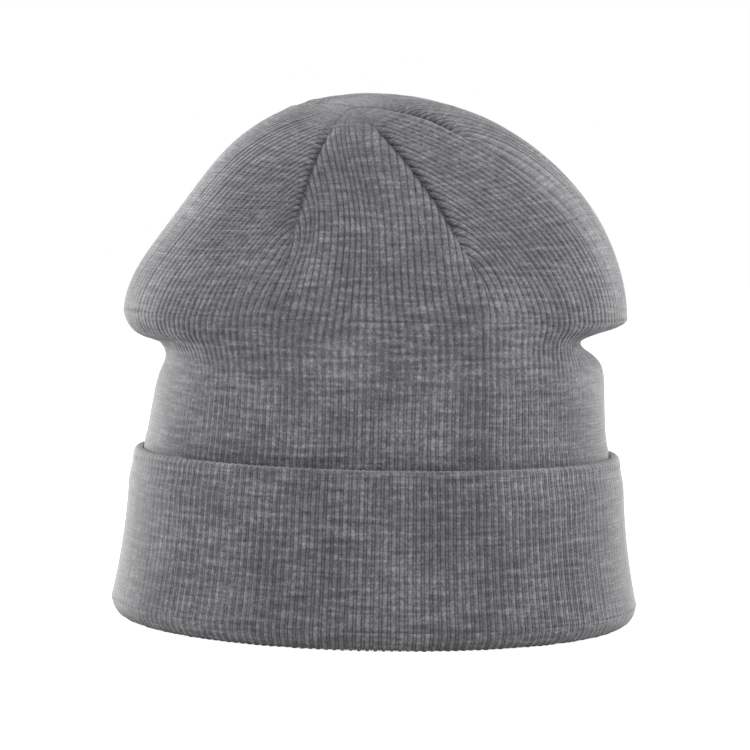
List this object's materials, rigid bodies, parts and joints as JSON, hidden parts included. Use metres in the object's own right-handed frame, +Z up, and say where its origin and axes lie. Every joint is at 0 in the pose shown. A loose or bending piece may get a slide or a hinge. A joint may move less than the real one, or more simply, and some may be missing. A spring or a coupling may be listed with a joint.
{
  "type": "knit beanie",
  "caption": "Close-fitting doubled rib-knit cap with a turned-up cuff and a darted crown; keeps a head warm.",
  "frame": {"origin": "middle of the footprint, on the surface that the hat stands on", "axes": "+Z up through the crown, front of the hat towards -Y, +X to the right seen from the front"},
  "size_m": [0.201, 0.1866, 0.2],
  "materials": {
    "rib_knit": "heather grey 1x1 rib, soft and slightly hairy",
    "lining_rib_knit": "the same heather grey rib, seen inside",
    "seam_thread": "grey overlock thread"
  },
  "bodies": {
    "hat": {"outer_knit": "rib_knit", "turn_up_inner_bend": "rib_knit", "cuff_inner_ply": "rib_knit", "cuff_outer_ply": "rib_knit", "turn_up_outer_bend": "rib_knit", "lining_knit": "lining_rib_knit", "dart_seam_front_left": "seam_thread", "dart_seam_front_right": "seam_thread", "dart_seam_back_right": "seam_thread", "dart_seam_back_left": "seam_thread", "lining_dart_seam_front_left": "seam_thread", "lining_dart_seam_front_right": "seam_thread", "lining_dart_seam_back_right": "seam_thread", "lining_dart_seam_back_left": "seam_thread", "crown_tack": "seam_thread"},
    "cuff_edge": {"cuff_folded_edge": "rib_knit"}
  },
  "joints": [
    {"name": "cuff_turn_down", "type": "slide", "parent": "hat", "child": "cuff_edge", "axis": [0, 0, -1], "range_m": [0, 0.128], "deforming": ["cuff_outer_ply", "cuff_inner_ply", "turn_up_outer_bend", "turn_up_inner_bend"]}
  ]
}
